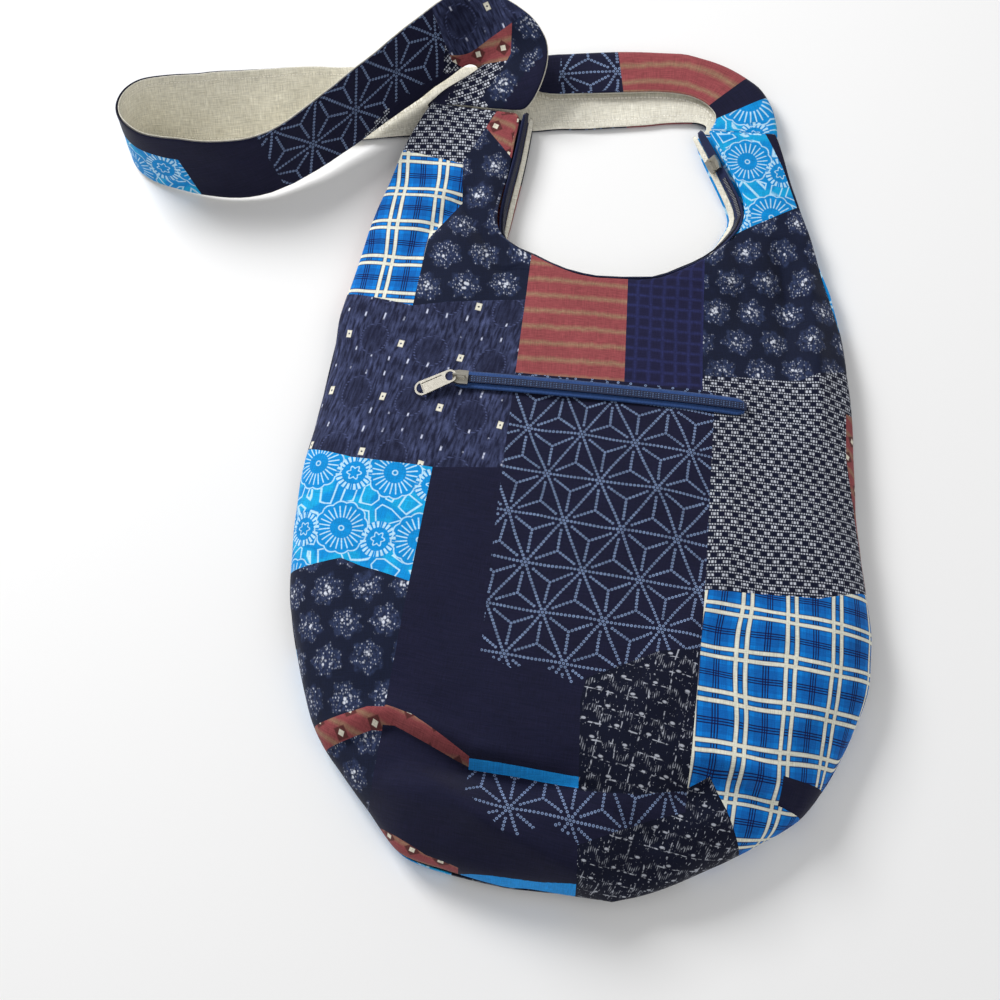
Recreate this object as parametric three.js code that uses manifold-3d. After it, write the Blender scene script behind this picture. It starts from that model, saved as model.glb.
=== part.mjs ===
// A patchwork-print cotton hobo bag, lying closed on its back panel.
// +Z is up, +Y runs from the rounded bottom to the strap, and the origin is on the back panel's underside.
// The front and back panels run up into two legs, and the strap is sewn to the ends of the legs.
// The strap makes a hairpin above the left leg, stands on edge round a loop at the far left,
// runs back under the left leg, and folds over lengthwise until it meets the right leg.
import * as THREE from "three";
import Module from "manifold-3d";

// Driving sizes in millimetres.
const bodyWidth = 370; // widest, from side seam to side seam
const bodyLength = 400; // from the bottom seam up to the lowest point of the mouth
const bodyDepth = 42; // rise of the front panel above the side seam, at its fullest
const seamHeight = 11; // the side seam lies this far above the floor
const legRise = 123; // from the lowest point of the mouth up to the strap seams
const mouthWidth = 164; // widest gap between the two legs
const mouthPeek = 10; // how far the zip and the lining show beside the legs
const floorRoll = 26; // width of the rounded edge of the back panel
const panelCloth = 1.6; // printed cotton and its lining, sewn as one panel
const strapWidth = 52; // the single strap, laid flat
const strapRun = 203; // how far the loop lies to the left of the left leg
const strapCloth = 1.2; // the strap's printed face
const liningCloth = 1.0; // the strap's plain linen face
const strapStack = strapCloth + liningCloth;
const foldRadius = 3; // where the strap is folded on itself
const seamGap = 0.3; // clearance between pieces that are sewn together
const mouthCloth = 1.0; // the mouth's zip tape and its lining strip
const mouthCoil = 1.1;
const pocketZipLength = 187;
const pocketZipRise = 0.784; // place of the pocket zip up the body
const pocketTapeWidth = 12.5;
const pocketTapeCloth = 0.8;
const coilWidth = 5;
const coilHeight = 1.5;
const sliderLength = 9.8;
const sliderWidth = 9.2;
const sliderBlock = 2.6; // height of the slider's block, without its bridge
const bridgeHeight = 3.8;
const bridgeSheet = 0.8;
const bridgeWidth = 1;
const pullLength = 28; // from the bar under the bridge to the far end
const pullWidth = 9.6;
const pullSheet = 1.2;
const pullBar = 1.2; // width of the bars of the pull's frame
const pullLift = 1.6; // of the bar under the bridge above the slider's block
const pullAside = 0.8; // the turned ring hangs a little to one side of the bridge
const pullAngle = 205; // the way the pull lies, counter-clockwise from +X

const INDIGO = 0x1d2340;
const LINEN = 0xc9c3b0;
const TAPE_BLUE = 0x34497a;
const NICKEL = 0xc8c4b8;

// Rows of the body from the bottom seam up. up is 0 at the bottom seam, 1 at the mouth's lowest point
// and 2 at the strap seams. left and right are shares of half the body's width, and crown is a share
// of bodyDepth.
const bodyRows = [
  { up: 0.0, left: 0.108, right: 0.195, crown: 0.0 },
  { up: 0.01, left: 0.297, right: 0.249, crown: 0.3 },
  { up: 0.027, left: 0.476, right: 0.346, crown: 0.5 },
  { up: 0.057, left: 0.546, right: 0.486, crown: 0.7 },
  { up: 0.102, left: 0.627, right: 0.649, crown: 0.88 },
  { up: 0.157, left: 0.741, right: 0.8, crown: 0.98 },
  { up: 0.232, left: 0.854, right: 0.897, crown: 1.0 },
  { up: 0.332, left: 0.935, right: 0.984, crown: 0.95 },
  { up: 0.432, left: 0.989, right: 0.995, crown: 0.88 },
  { up: 0.557, left: 0.989, right: 0.946, crown: 0.81 },
  { up: 0.682, left: 0.973, right: 0.903, crown: 0.7 },
  { up: 0.807, left: 0.957, right: 0.886, crown: 0.57 },
  { up: 0.92, left: 0.93, right: 0.854, crown: 0.42 },
  { up: 1.0, left: 0.903, right: 0.805, crown: 0.31 },
];

// Rows of the two legs above the mouth's lowest point. inUp, inLeft and inRight place the mouth's edge,
// as shares of legRise and of half the mouth's width. shut is 0 where the cloth is open and 1 where the
// leg is a flat tube, peek is the share of mouthPeek that shows, and lift raises the leg over the strap
// that passes under it.
const legRows = [
  {
    up: 1.057, left: 0.897, right: 0.795, inUp: 0.028, inLeft: 0.366, inRight: 0.341,
    crown: 0.29, shut: 0.0, peek: 0.1, lift: 0,
  },
  {
    up: 1.154, left: 0.884, right: 0.768, inUp: 0.106, inLeft: 0.634, inRight: 0.561,
    crown: 0.26, shut: 0.15, peek: 0.15, lift: 0,
  },
  {
    up: 1.268, left: 0.868, right: 0.735, inUp: 0.195, inLeft: 0.89, inRight: 0.756,
    crown: 0.22, shut: 0.4, peek: 0.3, lift: 0,
  },
  {
    up: 1.415, left: 0.846, right: 0.697, inUp: 0.317, inLeft: 0.951, inRight: 0.927,
    crown: 0.17, shut: 0.75, peek: 0.75, lift: 0,
  },
  {
    up: 1.593, left: 0.819, right: 0.649, inUp: 0.496, inLeft: 0.939, inRight: 1.049,
    crown: 0.12, shut: 1.0, peek: 0.9, lift: 0.2,
  },
  {
    up: 1.789, left: 0.776, right: 0.6, inUp: 0.724, inLeft: 0.89, inRight: 0.89,
    crown: 0.08, shut: 1.0, peek: 0.85, lift: 0.75,
  },
  {
    up: 2.0, left: 0.714, right: 0.546, inUp: 1.0, inLeft: 0.854, inRight: 0.646,
    crown: 0.05, shut: 1.0, peek: 0.75, lift: 1.0,
  },
];

// Folds of the front panel, each a line from one point to another. x is a share of half the body's width,
// up is as above, depth is a share of bodyDepth, and a ridge has a negative depth. spread is the fold's
// half width.
const folds = [
  // left bottom dart
  { fromX: -0.82, fromUp: 0.175, toX: -0.02, toUp: 0.145, spread: 11, depth: 0.3 },
  // right bottom dart
  { fromX: 0.84, fromUp: 0.125, toX: 0.4, toUp: 0.165, spread: 10, depth: 0.3 },
  // pucker below the right dart
  { fromX: 0.4, fromUp: 0.165, toX: 0.24, toUp: 0.05, spread: 12, depth: 0.12 },
  // ridge across the bottom
  { fromX: -0.62, fromUp: 0.14, toX: 0.1, toUp: 0.03, spread: 13, depth: -0.14 },
  // drag line at the left leg
  { fromX: -0.49, fromUp: 1.55, toX: -0.28, toUp: 0.94, spread: 12, depth: 0.13 },
  // drag lines at the right leg
  { fromX: 0.63, fromUp: 1.3, toX: 0.58, toUp: 0.6, spread: 11, depth: 0.1 },
  { fromX: 0.76, fromUp: 1.1, toX: 0.77, toUp: 0.62, spread: 12, depth: -0.08 },
];

// Rows of the strap from the left leg to the right leg. The row stands on its foot, which is at x and up,
// shares of half the body's width and of legRise above the mouth's lowest point. out is a share of
// strapRun and moves the foot to the left, and lift raises it, in thicknesses of the strap. heading turns
// counter-clockwise from +X, lean is the leaf's slope above the floor on the heading's right, leaf is a
// share of strapWidth, and footLap and topLap are the shares of the leaf that are folded back from its
// foot and from its top.
const strapRows = [
  { x: -0.714, out: 0, up: 1.004, lift: 6.36, heading: 90, lean: 0, leaf: 1.19, footLap: 0.92, topLap: 0 },
  { x: -0.643, out: 0, up: 1.13, lift: 6.18, heading: 84, lean: 8, leaf: 1.12, footLap: 0.5, topLap: 0 },
  { x: -0.558, out: 0, up: 1.249, lift: 5.55, heading: 103, lean: 24, leaf: 1.04, footLap: 0.07, topLap: 0 },
  { x: -0.568, out: 0, up: 1.281, lift: 4.91, heading: 135, lean: 42, leaf: 1, footLap: 0, topLap: 0 },
  { x: -0.589, out: 0, up: 1.294, lift: 4.55, heading: 165, lean: 45, leaf: 1, footLap: 0, topLap: 0 },
  { x: -0.616, out: 0, up: 1.281, lift: 4.18, heading: 195, lean: 50, leaf: 1, footLap: 0, topLap: 0 },
  { x: -0.692, out: 0, up: 1.171, lift: 3.82, heading: 221, lean: 58, leaf: 1, footLap: 0, topLap: 0 },
  { x: -0.714, out: 0.177, up: 0.854, lift: 3.27, heading: 222, lean: 66, leaf: 1, footLap: 0, topLap: 0 },
  { x: -0.714, out: 0.463, up: 0.423, lift: 1.27, heading: 203, lean: 72, leaf: 1, footLap: 0, topLap: 0 },
  { x: -0.714, out: 0.734, up: 0.366, lift: 0.86, heading: 176, lean: 77, leaf: 1, footLap: 0, topLap: 0 },
  { x: -0.714, out: 0.936, up: 0.455, lift: 0.86, heading: 132, lean: 86, leaf: 1, footLap: 0, topLap: 0 },
  { x: -0.714, out: 0.985, up: 0.626, lift: 0.86, heading: 88, lean: 93, leaf: 1, footLap: 0, topLap: 0 },
  { x: -0.714, out: 0.911, up: 0.707, lift: 0.86, heading: 42, lean: 105, leaf: 1, footLap: 0, topLap: 0 },
  { x: -0.714, out: 0.798, up: 0.667, lift: 0.86, heading: 6, lean: 122, leaf: 1, footLap: 0, topLap: 0 },
  { x: -0.714, out: 0.443, up: 0.724, lift: 0.86, heading: 9, lean: 146, leaf: 1, footLap: 0, topLap: 0 },
  { x: -0.714, out: 0.187, up: 0.805, lift: 0.86, heading: 12, lean: 172, leaf: 1, footLap: 0, topLap: 0 },
  { x: -0.714, out: 0, up: 0.862, lift: 0.86, heading: 10, lean: 180, leaf: 1, footLap: 0, topLap: 0 },
  { x: -0.43, out: 0, up: 0.925, lift: 0.86, heading: 9, lean: 180, leaf: 1, footLap: 0, topLap: 0 },
  { x: -0.346, out: 0, up: 0.943, lift: 0.86, heading: 8, lean: 180, leaf: 1, footLap: 0, topLap: 0.5 },
  { x: -0.016, out: 0, up: 1.016, lift: 1.0, heading: 9, lean: 180, leaf: 1.04, footLap: 0, topLap: 0.56 },
  { x: 0.2, out: 0, up: 1.08, lift: 1.18, heading: 3, lean: 180, leaf: 0.92, footLap: 0, topLap: 0.6 },
  { x: 0.281, out: 0, up: 1.08, lift: 1.55, heading: -25, lean: 180, leaf: 0.82, footLap: 0, topLap: 0.72 },
  { x: 0.3, out: 0, up: 1.05, lift: 2.0, heading: -60, lean: 180, leaf: 0.85, footLap: 0, topLap: 0.85 },
  { x: 0.286, out: 0, up: 1.004, lift: 2.5, heading: -90, lean: 180, leaf: 0.92, footLap: 0, topLap: 0.92 },
];

const halfWidth = bodyWidth / 2;
const bottomY = -193 * (bodyLength / 400);

// Height up the bag in millimetres of a row whose up is 0 to 2.
function upToY(up) {
  return up <= 1 ? bottomY + up * bodyLength : bottomY + bodyLength + (up - 1) * legRise;
}

// A smooth curve through the rows of a table: the row at place t, counted in rows from 0.
function rowAt(rows, t) {
  const last = rows.length - 1;
  const i = Math.min(Math.floor(t), last - 1);
  const f = t - i;
  const pick = (k) => rows[Math.max(0, Math.min(last, k))];
  const row = {};
  for (const name of Object.keys(rows[0])) {
    const [a, b, c, d] = [pick(i - 1)[name], pick(i)[name], pick(i + 1)[name], pick(i + 2)[name]];
    const inSlope = (c - a) / 2;
    const outSlope = (d - b) / 2;
    row[name] =
      b * (2 * f ** 3 - 3 * f ** 2 + 1) + inSlope * (f ** 3 - 2 * f ** 2 + f) +
      c * (3 * f ** 2 - 2 * f ** 3) + outSlope * (f ** 3 - f ** 2);
  }
  return row;
}

// The body's and the legs' rows as one table, with the mouth's edge at the middle line below the mouth.
const allRows = [
  ...bodyRows.map((r) => ({ ...r, inUp: 0, inLeft: 0, inRight: 0, shut: 0, peek: 0.1, lift: 0 })),
  ...legRows,
];
const mouthRow = bodyRows.length - 1;
const topRow = allRows.length - 1;

// The places, on the floor plan, of one row: its outer ends and the two ends at the mouth or the middle line.
function planRow(t) {
  const r = rowAt(allRows, t);
  const y = upToY(Math.min(2, r.up));
  const left = -r.left * halfWidth;
  const right = r.right * halfWidth;
  r.lift = Math.max(0, r.lift);
  const middle = (left + right) / 2;
  if (t <= mouthRow) return { ...r, y, left, right, inY: y, inLeft: middle, inRight: middle };
  const open = Math.min(1, t - mouthRow);
  const inY = bottomY + bodyLength + r.inUp * legRise;
  const half = mouthWidth / 2;
  return {
    ...r, y, left, right, inY,
    inLeft: middle * (1 - open) - r.inLeft * half,
    inRight: middle * (1 - open) + r.inRight * half,
  };
}

// Share of the crown from the outer seam (0) to the middle or the mouth's edge (1).
function crownShape(share, shut) {
  const rise = Math.sqrt(1 - (1 - share) ** 2.4);
  return rise * (1 - 0.4 * shut * share ** 4);
}

// How far a fold has sunk the cloth at a point of the floor plan.
function foldDepth(x, y) {
  let sunk = 0;
  for (const fold of folds) {
    const [ax, ay] = [fold.fromX * halfWidth, upToY(fold.fromUp)];
    const [bx, by] = [fold.toX * halfWidth, upToY(fold.toUp)];
    const run = Math.hypot(bx - ax, by - ay);
    const along = ((x - ax) * (bx - ax) + (y - ay) * (by - ay)) / run ** 2;
    const beyond = Math.max(0, -along, along - 1) * run;
    const aside = Math.abs((x - ax) * (by - ay) - (y - ay) * (bx - ax)) / run;
    sunk += fold.depth * bodyDepth * Math.exp(-((aside ** 2 + beyond ** 2) / fold.spread ** 2));
  }
  return sunk;
}

const liftHeight = 2.2 * strapStack;

// The way out of a leg or the body into the mouth, on the floor plan, at the mouth's edge.
function mouthOut(t, side) {
  const upper = planRow(Math.min(topRow, t + 0.5));
  const lower = planRow(Math.max(mouthRow, t - 0.5));
  const x = (row, s) => (s < 0 ? row.inLeft : row.inRight);
  let run = new THREE.Vector2(x(upper, side) - x(lower, side), upper.inY - lower.inY).multiplyScalar(side);
  if (t <= mouthRow) run = new THREE.Vector2(x(upper, 1) - x(upper, -1), 0);
  return new THREE.Vector3(-run.y, run.x, 0).normalize();
}

// Marks how a point on a sheet's edge gets its inner face: level at the seam and upright at the mouth.
function markEdge(point, t, share) {
  point.hold = new THREE.Vector3(1, 1, 1);
  if (t === topRow) point.hold.set(1, 0, 1);
  if (share === 0 || t === 0) point.hold.z = 0;
  else if (share === 1 && t >= mouthRow) point.hold.set(0, 0, 1);
  return point;
}

// The outer face of the front panel in row t, at share 0 to 1 from the outer seam towards the middle.
function frontPoint(t, share, side) {
  const r = planRow(t);
  const [outX, inX] = side < 0 ? [r.left, r.inLeft] : [r.right, r.inRight];
  const x = outX + (inX - outX) * share;
  const y = r.y + (r.inY - r.y) * share;
  const shape = crownShape(share, r.shut);
  const inward = Math.min(1, 4 * share) * Math.min(1, 4 * r.crown) * (1 - r.shut);
  const rise = r.crown * bodyDepth * shape - foldDepth(x, y) * inward;
  const seam = seamHeight + seamGap / 2 + r.lift * liftHeight * 0.5;
  const aside = Math.min(1, (share * Math.abs(inX - outX)) / panelCloth);
  const least = t > 0 ? 1.2 * panelCloth * Math.sqrt(aside) : 0;
  return markEdge(new THREE.Vector3(x, y, seam + Math.max(rise, least)), t, share);
}

// The underside of the back panel at the same place. It is flat on the floor past its rounded edge, and its
// mouth edge lies a little beyond the front panel's.
function backPoint(t, share, side) {
  const r = planRow(t);
  const [outX, inX] = side < 0 ? [r.left, r.inLeft] : [r.right, r.inRight];
  const width = Math.abs(inX - outX);
  const fromSide = Math.min(1, (share * width) / Math.min(floorRoll, 0.5 * width + 1));
  const fromEnd = Math.min(1, (r.y - bottomY) / floorRoll);
  const level = Math.min(fromSide, fromEnd);
  const floor = r.lift * liftHeight;
  const seam = seamHeight - seamGap / 2 + r.lift * liftHeight * 0.5;
  const z = floor + (seam - floor) * (1 - Math.sqrt(1 - (1 - level) ** 2));
  const point = new THREE.Vector3(outX + (inX - outX) * share, r.y + (r.inY - r.y) * share, z);
  if (t >= mouthRow) point.addScaledVector(mouthOut(t, side), share * (mouthFoot + r.peek * mouthPeek));
  if (t === topRow) point.y = r.y;
  return markEdge(point, t, share);
}

// How far beyond the front panel's edge the mouth's strips stand on the back panel.
const mouthFoot = mouthCloth + 3 * seamGap;

// A closed sheet of cloth. quads are on its outer face. Its inner face lies one thickness behind each point.
function sheet(name, quads, thickness, material) {
  const places = new Map();
  const outer = [];
  const cells = quads.map((quad) =>
    quad.map((p) => {
      const key = [p.x, p.y, p.z].map((v) => Math.round(v * 1000 + 0.1)).join(",");
      if (!places.has(key)) {
        places.set(key, outer.length);
        outer.push(p);
      }
      return places.get(key);
    })
  );
  const triangles = cells.flatMap(([a, b, c, d]) => [[a, b, c], [a, c, d]]);
  const normals = outer.map(() => new THREE.Vector3());
  for (const [a, b, c] of triangles) {
    const n = outer[b].clone().sub(outer[a]).cross(outer[c].clone().sub(outer[a]));
    for (const v of [a, b, c]) normals[v].add(n);
  }
  const inner = outer.map((p, i) => {
    const out = normals[i].clone().multiply(p.hold).normalize();
    return p.clone().addScaledVector(out, -thickness);
  });
  const count = outer.length;
  const faces = [];
  const edges = new Map();
  for (const [a, b, c] of triangles) {
    faces.push(a, b, c, count + a, count + c, count + b);
    for (const [p, q] of [[a, b], [b, c], [c, a]]) {
      if (edges.has(q + "_" + p)) edges.delete(q + "_" + p);
      else edges.set(p + "_" + q, [p, q]);
    }
  }
  for (const [p, q] of edges.values()) faces.push(q, p, count + p, q, count + p, count + q);
  return meshOf(name, [...outer, ...inner], faces, material);
}

function meshOf(name, points, faces, material) {
  const geometry = new THREE.BufferGeometry();
  const places = points.flatMap((p) => [p.x, p.y, p.z]);
  geometry.setAttribute("position", new THREE.Float32BufferAttribute(places, 3));
  geometry.setIndex(faces);
  geometry.computeVertexNormals();
  const mesh = new THREE.Mesh(geometry, material);
  mesh.name = name;
  return mesh;
}

// Quads over a grid of points. Their outer face looks along the column direction crossed with the row
// direction.
function gridQuads(points) {
  const quads = [];
  for (let i = 0; i + 1 < points.length; i++) {
    for (let j = 0; j + 1 < points[i].length; j++) {
      quads.push([points[i][j], points[i][j + 1], points[i + 1][j + 1], points[i + 1][j]]);
    }
  }
  return quads;
}

function flipped(quads) {
  return quads.map(([a, b, c, d]) => [d, c, b, a]);
}

// A closed solid between two matching grids of points. The outer grid looks along rows crossed with columns.
function solidBetween(name, outer, inner, material) {
  const rows = outer.length;
  const columns = outer[0].length;
  const index = (layer, i, j) => layer * rows * columns + i * columns + j;
  const faces = [];
  const quad = (a, b, c, d) => faces.push(a, b, c, a, c, d);
  for (let i = 0; i + 1 < rows; i++) {
    for (let j = 0; j + 1 < columns; j++) {
      quad(index(0, i, j), index(0, i + 1, j), index(0, i + 1, j + 1), index(0, i, j + 1));
      quad(index(1, i, j), index(1, i, j + 1), index(1, i + 1, j + 1), index(1, i + 1, j));
    }
    quad(index(0, i, 0), index(1, i, 0), index(1, i + 1, 0), index(0, i + 1, 0));
    const last = columns - 1;
    quad(index(0, i, last), index(0, i + 1, last), index(1, i + 1, last), index(1, i, last));
  }
  for (let j = 0; j + 1 < columns; j++) {
    quad(index(0, 0, j), index(0, 0, j + 1), index(1, 0, j + 1), index(1, 0, j));
    const last = rows - 1;
    quad(index(0, last, j), index(1, last, j), index(1, last, j + 1), index(0, last, j + 1));
  }
  return meshOf(name, [...outer.flat(), ...inner.flat()], faces, material);
}

const indigoCotton = new THREE.MeshStandardMaterial({ color: INDIGO, roughness: 0.9, metalness: 0 });
const linen = new THREE.MeshStandardMaterial({ color: LINEN, roughness: 0.92, metalness: 0 });
const tapeCloth = new THREE.MeshStandardMaterial({ color: TAPE_BLUE, roughness: 0.8, metalness: 0 });
const nickel = new THREE.MeshStandardMaterial({ color: NICKEL, roughness: 0.3, metalness: 1 });

const bag = new THREE.Group();

// The front and back panels, each one sheet that splits into two legs at the mouth.
const rowPlaces = [];
for (let t = 0; t <= topRow; t += t >= 6 && t < mouthRow - 1 ? 1 : 0.5) rowPlaces.push(t);

function panelQuads(pointAt, shares) {
  const half = (side) => gridQuads(rowPlaces.map((t) => shares.map((share) => pointAt(t, share, side))));
  return [...half(-1), ...flipped(half(1))];
}

// Columns lie close together at the rounded seam.
const frontShares = [0, 0.015, 0.06, 0.134, 0.234, 0.357, 0.5, 0.658, 0.826, 1];
const backShares = [0, 0.05, 0.12, 0.22, 0.4, 0.7, 1];
bag.add(sheet("front_panel", panelQuads(frontPoint, frontShares), panelCloth, indigoCotton));
bag.add(sheet("back_panel", flipped(panelQuads(backPoint, backShares)), panelCloth, indigoCotton));

// Places along the mouth's edge from the left strap seam, round its lowest point, to the right strap seam.
const mouthPlaces = [];
for (let t = topRow; t > mouthRow; t -= 0.5) mouthPlaces.push({ t, side: -1 });
mouthPlaces.push({ t: mouthRow, side: -1 });
for (let t = mouthRow + 0.5; t <= topRow; t += 0.5) mouthPlaces.push({ t, side: 1 });

// A point on the strip that closes the mouth. w runs from 0 at the front panel's edge to 1 at the back panel,
// and above is the distance out from the strip's inner face.
function mouthPoint({ t, side }, w, above) {
  const r = planRow(t);
  const out = mouthOut(t, side);
  const edge = frontPoint(t, 1, side);
  const low = backPoint(t, 1, side).z + panelCloth + seamGap;
  const drop = edge.z - 0.6 * panelCloth - low;
  const show = r.peek * mouthPeek;
  const face = out.clone().multiplyScalar(drop).setZ(show).normalize();
  const point = edge.clone().addScaledVector(out, seamGap + show * w).setZ(low + drop * (1 - w));
  return point.addScaledVector(face, above);
}

function mouthStrip(name, places, from, to, above, thickness, material) {
  const grid = (height) =>
    places.map((place) => [0, 0.5, 1].map((f) => mouthPoint(place, from + (to - from) * f, height)));
  return solidBetween(name, grid(above + thickness), grid(above), material);
}

bag.add(mouthStrip("mouth_zip_tape", mouthPlaces, 0, 0.55, 0, mouthCloth, tapeCloth));
bag.add(mouthStrip("mouth_lining", mouthPlaces, 0.6, 0.96, 0, mouthCloth, linen));
const coilPlaces = mouthPlaces.slice(0, -2); // it ends at the slider
bag.add(mouthStrip("mouth_zip_coil", coilPlaces, 0.14, 0.34, mouthCloth + seamGap, mouthCoil, tapeCloth));

// The strap's section at row t: points across its width and the way its printed face looks at each.
const strapAcross = 12;
function strapSection(t) {
  const r = rowAt(strapRows, t);
  const heading = THREE.MathUtils.degToRad(r.heading);
  const lean = THREE.MathUtils.degToRad(Math.min(180, r.lean));
  const along = new THREE.Vector3(Math.cos(heading), Math.sin(heading), 0);
  const aside = new THREE.Vector3(along.y, -along.x, 0);
  const rise = aside.clone().multiplyScalar(Math.cos(lean)).setZ(Math.sin(lean));
  const face = rise.clone().cross(along);
  const foot = new THREE.Vector3(
    r.x * halfWidth - r.out * strapRun,
    bottomY + bodyLength + r.up * legRise,
    r.lift * strapStack
  );
  const leaf = r.leaf * strapWidth;
  const footTurn = Math.PI * Math.min(1, Math.max(0, r.footLap) * 12);
  const topTurn = Math.PI * Math.min(1, Math.max(0, r.topLap) * 2);
  const lengths = [
    Math.max(0, r.footLap) * leaf, footTurn * foldRadius, leaf,
    topTurn * foldRadius, Math.max(0, r.topLap) * leaf,
  ];
  // Points lie closer together in the folds than on the leaf and the laps.
  const weights = lengths.map((length, i) => (i % 2 ? 4 * length : length));
  const total = weights.reduce((sum, w) => sum + w, 0);
  const placeOf = (share) => {
    let [left, place] = [share * total, -lengths[0] - lengths[1]];
    for (let i = 0; i < lengths.length; i++) {
      if (left <= weights[i] || i === lengths.length - 1) {
        return place + (weights[i] ? (left / weights[i]) * lengths[i] : 0);
      }
      left -= weights[i];
      place += lengths[i];
    }
  };
  const turnAt = (d) => {
    if (d < 0) return Math.min(-d / foldRadius, footTurn);
    return d > leaf ? -Math.min((d - leaf) / foldRadius, topTurn) : 0;
  };
  // Walks across the section from the leaf's foot, turning at a steady rate in the two folds.
  const walk = (distance) => {
    const steps = 40;
    let [u, v] = [0, 0];
    for (let i = 0; i < steps; i++) {
      const angle = turnAt((distance * (i + 0.5)) / steps);
      u += (Math.cos(angle) * distance) / steps;
      v += (Math.sin(angle) * distance) / steps;
    }
    return { u, v, angle: turnAt(distance) };
  };
  const across = [];
  for (let j = 0; j <= strapAcross; j++) {
    const { u, v, angle } = walk(placeOf(j / strapAcross));
    across.push({
      point: foot.clone().addScaledVector(rise, u).addScaledVector(face, v),
      face: rise.clone().multiplyScalar(-Math.sin(angle)).addScaledVector(face, Math.cos(angle)),
    });
  }
  return across;
}

// One layer of the strap. It lies between two distances from the strap's middle surface.
function strapLayer(name, near, far, material) {
  const places = [];
  for (let t = 0; t <= strapRows.length - 1; t += 0.5) places.push(t);
  const sections = places.map(strapSection);
  const moved = ({ point, face }, distance) => point.clone().addScaledVector(face, distance);
  const at = (distance) =>
    sections.map((across) => across.map((spot) => moved(spot, distance)).reverse());
  const outer = at(Math.max(near, far));
  const inner = at(Math.min(near, far));
  return solidBetween(name, outer, inner, material);
}

bag.add(strapLayer("strap_print", seamGap, seamGap + strapCloth, indigoCotton));
bag.add(strapLayer("strap_lining", -seamGap, -seamGap - liningCloth, linen));

// The front panel's outer face above any point of the floor plan below the mouth.
function frontHeight(x, y) {
  let [low, high] = [0, mouthRow];
  for (let k = 0; k < 30; k++) {
    const t = (low + high) / 2;
    if (planRow(t).y < y) low = t;
    else high = t;
  }
  const r = planRow(low);
  const side = x < r.inLeft ? -1 : 1;
  const end = side < 0 ? r.left : r.right;
  return frontPoint(low, (x - end) / (r.inLeft - end), side).z;
}

// The pocket zip lies across the front panel and follows its crown.
const zipY = bottomY + pocketZipRise * bodyLength;
const zipFrom = -pocketZipLength / 2;
const zipTo = pocketZipLength / 2;
const panelClear = 0.9; // over the panel's facets

function zipStrip(name, from, to, width, above, thickness, material) {
  const lengthSteps = 16;
  const grid = (height) => {
    const points = [];
    for (let i = 0; i <= lengthSteps; i++) {
      const x = from + ((to - from) * i) / lengthSteps;
      const edge = (y) => new THREE.Vector3(x, y, frontHeight(x, y) + height);
      points.push([edge(zipY - width / 2), edge(zipY + width / 2)]);
    }
    return points;
  };
  return solidBetween(name, grid(above + thickness), grid(above), material);
}

const tapeTop = panelClear + pocketTapeCloth;
const coilFrom = zipFrom + sliderLength + 2 * seamGap;
bag.add(zipStrip("pocket_zip_tape", zipFrom, zipTo, pocketTapeWidth, panelClear, pocketTapeCloth, tapeCloth));
bag.add(zipStrip("pocket_zip_coil", coilFrom, zipTo, coilWidth, tapeTop + seamGap, coilHeight, tapeCloth));

// Metal pieces are joined from extruded outlines, so they are made as solids first.
const kernel = await Module();
kernel.setup();

function solidOf(geometry) {
  const flat = geometry.attributes.position.array;
  const triVerts = new Uint32Array(flat.length / 3).map((_, i) => i);
  const mesh = new kernel.Mesh({ numProp: 3, vertProperties: new Float32Array(flat), triVerts });
  mesh.merge();
  return new kernel.Manifold(mesh);
}

function meshOfSolid(name, solid, material) {
  const { vertProperties, triVerts, numProp } = solid.getMesh();
  const points = [];
  for (let i = 0; i < vertProperties.length; i += numProp) {
    points.push(new THREE.Vector3(vertProperties[i], vertProperties[i + 1], vertProperties[i + 2]));
  }
  return meshOf(name, points, Array.from(triVerts), material);
}

// An outline in X and Y raised from z = from to z = to.
function raised(shape, from, to) {
  const settings = { depth: to - from, bevelEnabled: false, curveSegments: 8 };
  const geometry = new THREE.ExtrudeGeometry(shape, settings);
  return geometry.translate(0, 0, from);
}

function rectangle(path, left, low, right, high) {
  path.moveTo(left, low);
  path.lineTo(right, low);
  path.lineTo(right, high);
  path.lineTo(left, high);
  path.closePath();
  return path;
}

// A slider lies along X with its middle at the origin. A bridge on its block holds the pull.
function sliderSolid() {
  const half = sliderLength / 2;
  const wide = sliderWidth / 2;
  const block = new THREE.Shape();
  block.moveTo(-half, -wide * 0.78);
  block.lineTo(-half * 0.3, -wide);
  block.lineTo(half, -wide);
  block.lineTo(half, wide);
  block.lineTo(-half * 0.3, wide);
  block.lineTo(-half, wide * 0.78);
  block.closePath();
  const bridge = rectangle(new THREE.Shape(), -half, -0.5, half * 0.7, bridgeHeight);
  const window = new THREE.Path();
  const inset = bridgeSheet;
  bridge.holes.push(rectangle(window, -half + inset, 0, half * 0.7 - inset, bridgeHeight - inset));
  const upright = raised(bridge, -bridgeWidth / 2, bridgeWidth / 2);
  upright.rotateX(Math.PI / 2).translate(0, 0, sliderBlock);
  return solidOf(raised(block, 0, sliderBlock)).add(solidOf(upright));
}

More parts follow.
